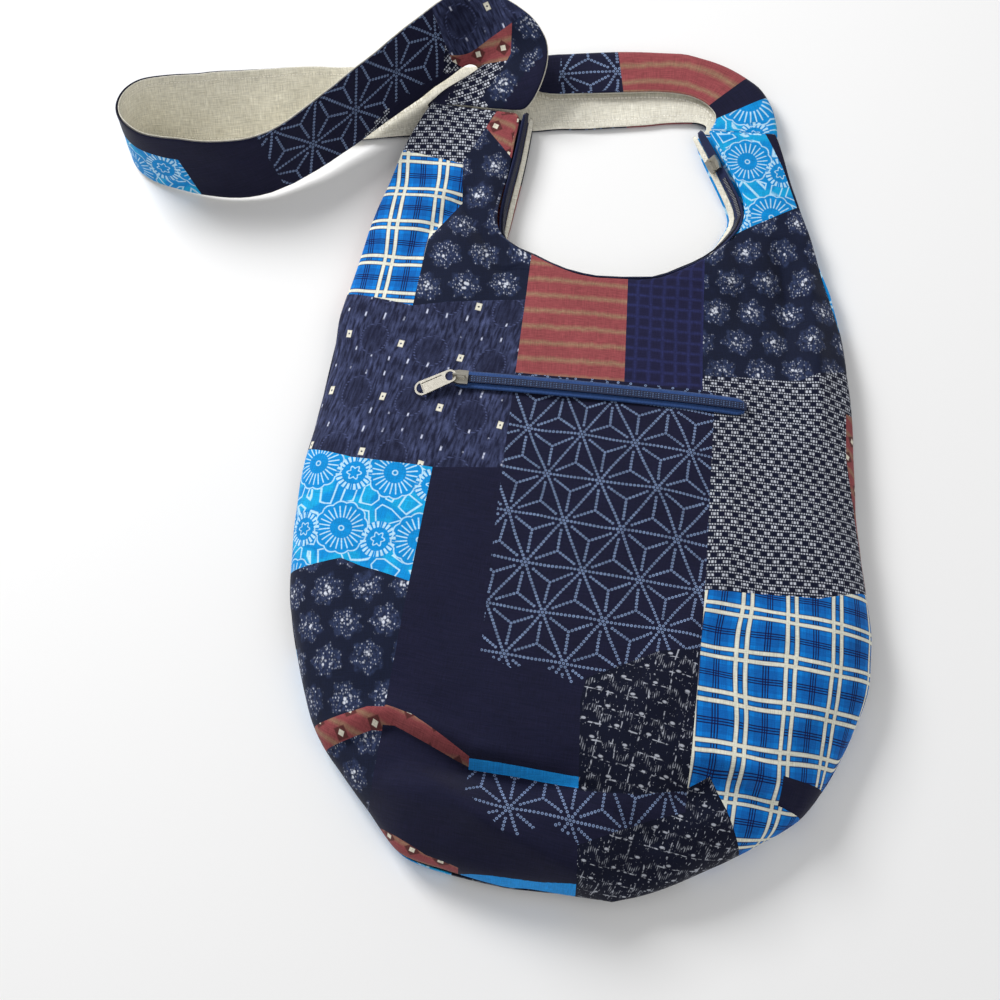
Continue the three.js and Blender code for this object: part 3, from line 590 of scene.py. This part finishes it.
def draw_blue_flowers(material, u, v, place):
    """Rayed chrysanthemums and leaves, white lines on two blues."""
    column_pitch = 50.0
    row_pitch = 40.0
    row = maths(material, "ROUND", maths(material, "DIVIDE", v, row_pitch))
    stagger = maths(material, "MULTIPLY_ADD", row, column_pitch / 2, u)
    column = maths(material, "ROUND", maths(material, "DIVIDE", stagger, column_pitch))
    across = maths(material, "SUBTRACT", stagger, maths(material, "MULTIPLY", column, column_pitch))
    along = maths(material, "SUBTRACT", v, maths(material, "MULTIPLY", row, row_pitch))
    away = length_of(material, across, along)
    angle = maths(material, "ARCTAN2", along, across)
    # The large flower has an eye, 24 rays and a rim of 12 scallops.
    spoke = maths(material, "SINE", maths(material, "MULTIPLY", angle, 12.0))
    spoke = maths(material, "MULTIPLY", maths(material, "ABSOLUTE", spoke), away)
    ring = stroke(material, apart(material, away, 10.6), 3.6, 0.5)
    rays = maths(material, "MULTIPLY", stroke(material, spoke, 4.6, 3.0), ring)
    eye = stroke(material, apart(material, away, 1.5), 0.4, 0.4)
    scallop = maths(material, "SINE", maths(material, "MULTIPLY", angle, 6.0))
    rim = maths(material, "MULTIPLY_ADD", maths(material, "ABSOLUTE", scallop), 1.3, 15.8)
    rim = stroke(material, apart(material, away, rim), 0.42, 0.5)
    # The small one has a fringe of 22 teeth and a star of 6 points.
    small_u = near(material, stagger, column_pitch, column_pitch / 2)
    small_v = near(material, v, row_pitch, 4.0)
    small = length_of(material, small_u, small_v)
    turn = maths(material, "ARCTAN2", small_v, small_u)
    teeth = maths(material, "SINE", maths(material, "MULTIPLY", turn, 22.0))
    fringe = stroke(material, apart(material, small, 9.4), 1.9, 0.5)
    fringe = maths(material, "MULTIPLY", stroke(material, teeth, 0.2, 0.5), fringe)
    star = maths(material, "COSINE", maths(material, "MULTIPLY", turn, 6.0))
    star = maths(material, "MULTIPLY_ADD", star, 0.8, 3.6)
    star = stroke(material, apart(material, small, star), 0.45, 0.4)
    # The leaves are lines beside the borders of irregular cells. They keep clear of the flowers.
    cells = {0: place, "Scale": 0.062, "Randomness": 0.95}
    leaf = node(material, "ShaderNodeTexVoronoi", cells, feature="DISTANCE_TO_EDGE").outputs[0]
    leaf = stroke(material, apart(material, leaf, 0.13), 0.026, 0.02)
    in_large = stroke(material, away, 17.0, 0.6)
    inside = maths(material, "MAXIMUM", in_large, stroke(material, small, 11.6, 0.6))
    lines = maths(material, "MULTIPLY", leaf, maths(material, "SUBTRACT", 1.0, inside))
    for part in (rays, eye, rim, fringe, star):
        lines = maths(material, "MAXIMUM", lines, part)
    wash = stroke(material, cloudy(material, place, 0.06, 0.06, 1.0), 0.5, 0.08)
    wash = maths(material, "MAXIMUM", wash, inside)
    dye = blend_of(material, wash, colour(24, 158, 214), colour(8, 134, 206))
    return blend_of(material, maths(material, "MULTIPLY", lines, 0.88), dye, colour(186, 224, 244))


def draw_bright(material, u, v, place):
    """Bright blue with a faint slub."""
    slub = node(material, "ShaderNodeTexNoise", {0: place, "Scale": 0.2, "Detail": 3.0}).outputs[0]
    return blend_of(material, slub, colour(24, 132, 214), colour(34, 150, 228))


prints = {
    "plain": printed_cotton("plain_navy_print", draw_plain, turn=6),
    "asanoha": printed_cotton("hemp_leaf_print", draw_asanoha, turn=5, shift=(0.012, 0.004)),
    "plaid": printed_cotton("blue_plaid_print", draw_plaid, turn=2),
    "dense": printed_cotton("dense_dash_print", draw_dense, turn=-2),
    "floral": printed_cotton("dotted_flower_print", draw_floral, turn=-8),
    "cross": printed_cotton("broken_cross_print", draw_cross, turn=10),
    "squares": printed_cotton("ring_and_square_print", draw_squares, turn=10),
    "redtan": printed_cotton("red_and_tan_print", draw_red_tan, turn=-2),
    "redsquares": printed_cotton("red_square_print", draw_red_squares, turn=20),
    "checked": printed_cotton("navy_check_print", draw_checked, turn=-2),
    "flowers": printed_cotton("blue_flower_print", draw_blue_flowers, turn=6),
    "bright": printed_cotton("bright_blue_print", draw_bright),
}
# Each cloth's material slots by patch. A number after a name tells patches of one print apart.
patches = {}

front =cloth_copy("front_panel", "bag_front")
lay_flat(front, across=1)
smoothed(front, 3)
rumple(front, 0.09, 0.006)
rumple(front, 0.035, 0.0022)
# The main folds, seen from above. All of a row is in millimetres but the last column.
front_folds = [
    # line, height, width, how blunt its top is
    ([(-149, -128), (-117, -111), (-103, -108), (-69, -122), (-57, -129), (46, -137)], -11, 8, 1.1),
    ([(-147, -113), (-118, -102), (-103, -100), (-70, -114), (-57, -120), (8, -129)], 8, 8, 2.0),
    ([(152, -136), (115, -125), (89, -118), (70, -132)], -10, 7, 1.1),
    ([(142, -126), (114, -117), (88, -109), (80, -112)], 7, 8, 2.0),
    ([(-100, -125), (-40, -163), (28, -189)], 6, 9, 1.6),
    ([(23, -142), (48, -156), (67, -164)], -6, 7, 1.3),
    ([(-58, 192), (-103, 258), (-139, 207)], -6, 8, 1.4),
    ([(-85, 290), (-86, 258), (-60, 209)], 5, 8, 1.6),
    ([(106, 257), (117, 210), (119, 154)], -6, 7, 1.4),
    ([(126, 250), (135, 190), (143, 113)], 5, 8, 1.6),
    ([(79, 256), (86, 222), (87, 178)], -4, 7, 1.6),
    ([(-165, 40), (-140, 10), (-128, -40)], -4, 9, 1.5),
    ([(90, 60), (84, 0), (60, -60), (30, -110)], 3, 12, 1.8),
]
for line, height, width, blunt in front_folds:
    crease(front, [(x * MM, y * MM) for x, y in line], height * MM, width * MM, blunt)
front_cuts = [
    # patch, line seen from above in millimetres, the patch on the line's left
    ("plain", [(-53, 220), (-56, 29), (-56, -71)], "asanoha"),
    ("asanoha", [(-55, 130), (72, 130)], "redtan"),
    ("redtan", [(11, 222), (15, 132)], "checked"),
    ("checked", [(60, 243), (65, 130)], "floral"),
    ("floral", [(164, 163), (127, 147), (65, 141)], "dense1"),
    ("asanoha", [(73, 131), (75, -8), (74, -113)], "dense2"),
    ("dense2", [(175, 10), (146, -1), (75, -7)], "plaid"),
    ("asanoha", [(77, -45), (51, -49), (0, -75), (-22, -64), (-37, -69), (-52, -62)], "plain4"),
    ("plain4", [(10, -59), (6, -85), (10, -137)], "cross"),
    ("plain", [(-186, 72), (-151, 63), (-99, 58), (-45, 62)], "squares"),
    ("squares", [(-175, 183), (-126, 174), (-50, 187)], "floral2"),
    ("floral2", [(-126, 174), (-122, 226), (-103, 258), (-106, 286), (-72, 363)], "plaid3"),
    ("plaid3", [(-144, 292), (-106, 285)], "dense3"),
    ("floral2", [(-98, 320), (-70, 290)], "redsquares1"),
    ("redsquares1", [(-81, 351), (-66, 336)], "floral4"),
    ("plain", [(-105, -31), (-99, 58)], "flowers2"),
    ("flowers2", [(-101, -20), (-149, -5), (-183, -13)], "floral3"),
    ("floral3", [(-100, -98), (-120, -98), (-152, -108), (-160, -117)], "redsquares2"),
    ("redsquares2", [(-96, -110), (-117, -110), (-143, -121), (-152, -130)], "floral5"),
    ("plain", [(-49, -125), (-54, -124), (-92, -102), (-108, -97), (-115, -97)], "redsquares3"),
    ("redsquares3", [(-49, -129), (-57, -127), (-103, -107), (-111, -107)], "plain6"),
    ("plain4", [(22, -130), (-26, -126), (-64, -123)], "bright"),
    ("bright", [(22, -136), (-25, -131), (-61, -128)], "asanoha2"),
    ("asanoha2", [(39, -156), (21, -172), (-6, -157), (-27, -171), (-56, -144)], "plain7"),
    ("cross", [(82, -127), (46, -136), (10, -136)], "asanoha3"),
    ("asanoha3", [(106, -130), (47, -152), (28, -161)], "cross2"),
    ("plaid", [(160, -116), (146, -134), (103, -122), (89, -117), (73, -128)], "plaid4"),
    ("plaid4", [(110, -161), (98, -137), (88, -121)], "cross3"),
    ("plaid", [(160, -116), (130, -114)], "plain8"),
    ("plain8", [(129, -130), (130, -110)], "plaid5"),
    ("plain6", [(-46, -188), (-76, -180), (-102, -167)], "redsquares4"),
    ("plain7", [(52, -188), (-7, -189), (-46, -188)], "bright2"),
    ("floral", [(85, 256), (119, 277), (130, 284)], "flowers3"),
    ("flowers3", [(80, 357), (108, 306), (122, 272)], "plain9"),
    ("dense2", [(158, 151), (160, 98), (169, 52)], "redsquares5"),
]
front.data.materials.append(prints["plain"])
patches[front.name] = {"plain": 0}
for cut in front_cuts:
    cut_patch(front, *cut)
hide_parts("front_panel")
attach(front, "bag")


# The back panel is the lower half of the body, cut like the front from the same cotton. It lies
# flat on the floor and turns up at its edge to the seam.
back = cloth_copy("back_panel", "bag_back")
lay_flat(back, across=-1)
smoothed(back, 3)
back.data.materials.append(prints["plain"])
patches[back.name] = {"plain": 0}
back_cuts = [
    ("plain", [(-300, 60), (300, 70)], "squares"),
    ("squares", [(20, 400), (20, -300)], "floral"),
    ("floral", [(-300, 190), (300, 190)], "flowers"),
    ("plain", [(-60, 300), (-60, -300)], "asanoha"),
    ("asanoha", [(80, 300), (80, -300)], "dense"),
    ("plain", [(300, -60), (-300, -60)], "flowers2"),
    ("squares", [(-300, 170), (300, 180)], "redtan"),
    ("redtan", [(-300, 280), (300, 280)], "plain2"),
    ("dense", [(300, -50), (-300, -60)], "plaid2"),
    ("asanoha", [(300, -90), (-300, -100)], "cross"),
]
for cut in back_cuts:
    cut_patch(back, *cut)
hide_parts("back_panel")
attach(back, "bag")


# The strap is a wide band of the printed cotton lined with unbleached linen, turned and sewn
# along both edges. Its ends are sewn to the two legs.
def draw_linen(material, u, v, place):
    """Slubby linen with a row of topstitching beside its edges, sunk in a darker line of painted shade."""
    stitching_inset = 4.5
    slub = cloudy(material, place, 0.08, 1.1, 4.0)
    cross = cloudy(material, place, 1.1, 0.08, 4.0)
    share = maths(material, "MULTIPLY_ADD", maths(material, "ADD", slub, cross), 1.6, -1.1)
    share = clamped(material, share)
    weave = blend_of(material, share, colour(206, 201, 184), colour(236, 233, 220))
    rim = node(material, "ShaderNodeAttribute", attribute_name="rim_distance").outputs["Fac"]
    row = apart(material, rim, stitching_inset)
    # The stitches press a groove into the linen. Its shade is painted as a darker line along the row.
    groove_shade = maths(material, "MULTIPLY", stroke(material, row, 0.5, 0.9), 0.45)
    weave = blend_of(material, groove_shade, weave, colour(168, 160, 140))
    stitch = stroke(material, near(material, u, 3.0), 1.15, 0.3)
    thread = maths(material, "MULTIPLY", stroke(material, row, 0.3, 0.2), stitch)
    return blend_of(material, thread, weave, colour(240, 237, 226))


def mark_rim_distance(cloth):
    """Stores each point's distance from the cloth's nearest rim, in millimetres."""
    mesh = cloth.data
    rim = sorted({v for edge in mesh.edges if edge.use_seam for v in edge.vertices})
    tree = KDTree(len(rim))
    for v in rim:
        tree.insert(mesh.vertices[v].co, v)
    tree.balance()
    distances = [tree.find(v.co)[2] / MM for v in mesh.vertices]
    mesh.attributes.new("rim_distance", "FLOAT", "POINT").data.foreach_set("value", distances)


linen = printed_cotton("unbleached_linen", draw_linen, rough=0.9)
strap = cloth_copy("strap_print", "strap_outside")
lay_flat(strap)
smoothed(strap, 2)
rumple(strap, 0.03, 0.002)
strap.data.materials.append(prints["plain"])
strap.data.materials.append(prints["plain"])
patches[strap.name] = {"plain": 0, "plain1": 1}
# The strap's middle line in millimetres. The first run goes from the left leg up to the hairpin
# and down to the end of the far left loop, and the second goes back behind it to the right leg.
first_run = [
    (-105, 335, 12), (-87, 370, 22), (-110, 383, 30), (-175, 318, 32), (-255, 257, 28), (-325, 263, 28),
    (-335, 284, 28),
]
second_run = [
    (-335, 284, 28), (-315, 302, 26), (-225, 318, 15), (-150, 336, 0), (-84, 346, 0), (-60, 360, 4),
    (15, 372, 5), (64, 366, 6), (83, 330, 8),
]


def distance_to(run, places):
    """How far each place is from a run of the strap's middle line."""
    nearest = np.full(len(places), np.inf)
    for start, end in zip(np.array(run) * MM, np.array(run[1:]) * MM):
        along = np.clip((places - start) @ (end - start) / ((end - start) ** 2).sum(), 0, 1)
        away = np.linalg.norm(places - start - along[:, None] * (end - start), axis=1)
        nearest = np.minimum(nearest, away)
    return nearest


_, centres = faces_of(strap.data)
in_second_run = distance_to(second_run, centres) < distance_to(first_run, centres)
strap.data.polygons.foreach_set("material_index", in_second_run.astype(np.int32))
strap_cuts = [
    ("plain", [(-283, 253), (-293, 259)], "flowers1"),
    ("plain", [(-237, 269), (-224, 262)], "asanoha1"),
    ("asanoha1", [(-135, 378), (-110, 350)], "squares1"),
    ("asanoha1", [(-127, 400), (-127, 300)], "dense1"),
    ("squares1", [(-83, 384), (-109, 372)], "redsquares1"),
    ("redsquares1", [(-83, 387), (-82, 368), (-91, 351)], "floral1"),
    ("redsquares1", [(-70, 364), (-125, 363)], "dense3"),
    ("plain1", [(-300, 250), (-300, 350)], "flowers2"),
    ("plain1", [(-250, 450), (-250, 200)], "dense2"),
    ("dense2", [(-160, 450), (-160, 200)], "plain2"),
    ("plain2", [(-48, 450), (-48, 200)], "asanoha2"),
    ("asanoha2", [(-8, 381), (-3, 356)], "redtan2"),
    ("redtan2", [(67, 362), (54, 349)], "plain3"),
    ("plain3", [(77, 350), (62, 341)], "flowers3"),
]
for cut in strap_cuts:
    cut_patch(strap, *cut)
# The blue flowers of the far left loop end 34 mm above the floor. The print is plain above them.
FLOWER_TOP = 34 * MM
blue = {patches[strap.name]["flowers1"], patches[strap.name]["flowers2"]}
for face in strap.data.polygons:
    face.select = face.material_index in blue
bpy.ops.object.mode_set(mode="EDIT")
bpy.ops.mesh.bisect(plane_co=(0, 0, FLOWER_TOP), plane_no=(0, 0, 1), use_fill=False)
bpy.ops.object.mode_set(mode="OBJECT")
for face in strap.data.polygons:
    if face.material_index in blue and face.center[2] > FLOWER_TOP:
        face.material_index = 0
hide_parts("strap_print")
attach(strap, "bag")

lining = cloth_copy("strap_lining", "strap_inside")
lay_flat(lining)
smoothed(lining, 2)
rumple(lining, 0.03, 0.002)
mark_rim_distance(lining)
lining.data.materials.append(linen)
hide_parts("strap_lining")
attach(lining, "bag")


# The mouth zip's tape is woven navy polyester, sewn behind the print along the mouth's edge. Its
# coil is nylon, and its slider is nickel-plated metal whose pull hangs hidden inside.
def ribbed(material, u, v, dark, light):
    """Slanting twill ribs of two shades."""
    slant = near(material, maths(material, "ADD", u, v), 0.9)
    return blend_of(material, stroke(material, slant, 0.22, 0.3), dark, light)


def draw_navy_tape(material, u, v, place):
    """The mouth tape's navy twill."""
    return ribbed(material, u, v, colour(24, 28, 52), colour(46, 54, 90))


def nylon_coil(name, dye):
    """Nylon with the turns of the coil across it, the lines between them darkened as painted shade."""
    material = bpy.data.materials.new(name)
    material.use_nodes = True
    place = node(material, "ShaderNodeTexCoord").outputs["Object"]
    place = node(material, "ShaderNodeMapping", {0: place, 3: (1000, 1000, 1000)}).outputs[0]
    split = node(material, "ShaderNodeSeparateXYZ", [place])
    slant = maths(material, "ADD", split.outputs[0], split.outputs[1])
    turns = stroke(material, near(material, slant, 1.25), 0.3, 0.5)
    surface = material.node_tree.nodes["Principled BSDF"]
    surface.inputs["Roughness"].default_value = 0.42
    # The lines between the coil's turns are painted darker as shade, on the coil and on the stitches that
    # use this material.
    shade = blend_of(material, turns, dye, tuple(0.4 * c for c in dye[:3]) + (1,))
    material.node_tree.links.new(shade, surface.inputs["Base Color"])
    bump = node(material, "ShaderNodeBump", {"Strength": 0.6, "Distance": 0.4 * MM, "Height": turns})
    material.node_tree.links.new(bump.outputs[0], surface.inputs["Normal"])
    return material


def nickel_plate():
    """Bright nickel with fine scratches and a little tarnish."""
    material = bpy.data.materials.new("nickel_plate")
    material.use_nodes = True
    place = node(material, "ShaderNodeTexCoord").outputs["Object"]
    drawn_out = {0: place, 2: (0, 0, 0.4), 3: (400, 6000, 6000)}
    scratched = node(material, "ShaderNodeMapping", drawn_out).outputs[0]
    scratched = node(material, "ShaderNodeTexNoise", {0: scratched, "Scale": 1.0, "Detail": 4.0}).outputs[0]
    worn = node(material, "ShaderNodeTexNoise", {0: place, "Scale": 260.0, "Detail": 3.0}).outputs[0]
    surface = material.node_tree.nodes["Principled BSDF"]
    surface.inputs["Metallic"].default_value = 1
    rough = maths(material, "MULTIPLY_ADD", scratched, 0.25, 0.2)
    material.node_tree.links.new(rough, surface.inputs["Roughness"])
    shade = blend_of(material, worn, (0.6, 0.57, 0.5, 1), (0.36, 0.34, 0.29, 1))
    material.node_tree.links.new(shade, surface.inputs["Base Color"])
    bump = node(material, "ShaderNodeBump", {"Strength": 0.15, "Distance": 0.1 * MM, "Height": scratched})
    material.node_tree.links.new(bump.outputs[0], surface.inputs["Normal"])
    return material


def finish_node(name, material):
    """Gives a CAD node its material."""
    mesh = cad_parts[name].data
    mesh.materials.clear()
    mesh.materials.append(material)


mouth_tape = cloth_copy("mouth_zip_tape", "mouth_tape")
lay_flat(mouth_tape)
smoothed(mouth_tape, 1)
mouth_tape.data.materials.append(printed_cotton("navy_zip_tape", draw_navy_tape, rough=0.7))
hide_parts("mouth_zip_tape")
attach(mouth_tape, "bag")
nickel = nickel_plate()
finish_node("mouth_zip_coil", nylon_coil("navy_nylon", colour(26, 30, 56)))
finish_node("mouth_zip_slider", nickel)


# A strip of the inner linen shows between the mouth's two sides, sewn to the back panel's edge.
mouth_linen = cloth_copy("mouth_lining", "mouth_linen")
lay_flat(mouth_linen)
smoothed(mouth_linen, 1)
mark_rim_distance(mouth_linen)
mouth_linen.data.materials.append(linen)
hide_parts("mouth_lining")
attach(mouth_linen, "bag")


# The pocket zip is a common nylon one, sewn in a slit of the front panel: a blue woven tape, a
# darker coil with rows of stitches, and a nickel-plated slider with a flat pull tab.
def draw_blue_tape(material, u, v, place):
    """The pocket tape's blue twill."""
    return ribbed(material, u, v, colour(36, 58, 104), colour(58, 88, 142))


pocket_tape = cloth_copy("pocket_zip_tape", "pocket_tape")
lay_flat(pocket_tape)
smoothed(pocket_tape, 1)
pocket_tape.data.materials.append(printed_cotton("blue_zip_tape", draw_blue_tape, rough=0.7))
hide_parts("pocket_zip_tape")
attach(pocket_tape, "bag")
blue_nylon = nylon_coil("blue_nylon", colour(24, 38, 74))
finish_node("pocket_zip_coil", blue_nylon)
finish_node("pocket_zip_slider", nickel)
finish_node("pocket_zip_pull", nickel)

STITCH_PITCH = 1.8 * MM
STITCH_RADIUS = 0.5 * MM
STITCH_SHAPE = (1.3, 0.7, 0.8)
STITCH_ROWS = 3
ROW_GAP = 1.3 * MM
ABOVE_THE_BAG = 0.2
coil =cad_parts["pocket_zip_coil"]
corners = np.array([v.co for v in coil.data.vertices])
coil_start, coil_end = corners[:, 0].min(), corners[:, 0].max()
coil_line = np.polyfit(corners[:, 0], corners[:, 1], 2)
bpy.ops.object.select_all(action="DESELECT")
bpy.ops.mesh.primitive_ico_sphere_add(subdivisions=1, radius=STITCH_RADIUS, location=(0, 0, 0))
stitches = bpy.context.object
stitches.name = "pocket_coil_stitches"
corners_each = len(stitches.data.vertices)
bpy.ops.object.mode_set(mode="EDIT")
bpy.ops.transform.resize(value=STITCH_SHAPE)
bpy.ops.transform.translate(value=(coil_start + STITCH_PITCH, -ROW_GAP, 0))
bpy.ops.object.mode_set(mode="OBJECT")
for count, step in (
    (int((coil_end - coil_start) / STITCH_PITCH) - 1, (STITCH_PITCH, 0, 0)),
    (STITCH_ROWS, (0, ROW_GAP, 0)),
):
    row = stitches.modifiers.new("row", "ARRAY")
    row.count = count
    row.use_relative_offset = False
    row.use_constant_offset = True
    row.constant_offset_displace = step
    bpy.ops.object.modifier_apply(modifier=row.name)
# Each stitch is set on the top of the coil, which follows the cloth.
points = np.array([v.co for v in stitches.data.vertices]).reshape(-1, corners_each, 3)
for stitch in points:
    stitch[:, 1] += np.polyval(coil_line, stitch[:, 0].mean())
    middle = stitch.mean(axis=0)
    hit, top, _, _ = coil.ray_cast((middle[0], middle[1], ABOVE_THE_BAG), (0, 0, -1))
    stitch[:, 2] += top[2] if hit else corners[:, 2].mean()
stitches.data.vertices.foreach_set("co", points.ravel())
stitches.data.update()
bpy.ops.object.shade_smooth()
stitches.data.materials.append(nylon_coil("stitch_thread", colour(96, 126, 176)))
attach(stitches, "bag")


# The floor is a plain white sheet, a little low, so that the cloth's waves don't dip into it. The
# light is a studio's: two large soft lamps.
bpy.ops.mesh.primitive_plane_add(size=6, location=(0, 0, -0.6 * MM))
floor = bpy.context.object
floor.name = "floor"
paper = bpy.data.materials.new("white_paper")
paper.use_nodes = True
paper.node_tree.nodes["Principled BSDF"].inputs["Base Color"].default_value = (0.92, 0.92, 0.92, 1)
paper.node_tree.nodes["Principled BSDF"].inputs["Roughness"].default_value = 0.9
floor.data.materials.append(paper)
for name, place, size, power in (
    ("key_lamp", (-1.3, 1.2, 1.2), 0.8, 38),
    ("fill_lamp", (1.1, -0.8, 1.6), 1.6, 8),
):
    bpy.ops.object.light_add(type="AREA", location=place)
    lamp = bpy.context.object
    lamp.name = name
    lamp.data.size = size
    lamp.data.energy = power
    lamp.rotation_euler = (Vector((0, 0.1, 0)) - lamp.location).to_track_quat("-Z", "Y").to_euler()
world = bpy.data.worlds.new("studio")
world.use_nodes = True
world.node_tree.nodes["Background"].inputs[0].default_value = (1, 1, 1, 1)
world.node_tree.nodes["Background"].inputs[1].default_value = 0.42
bpy.context.scene.world = world
bpy.context.scene.view_settings.view_transform = "Standard"
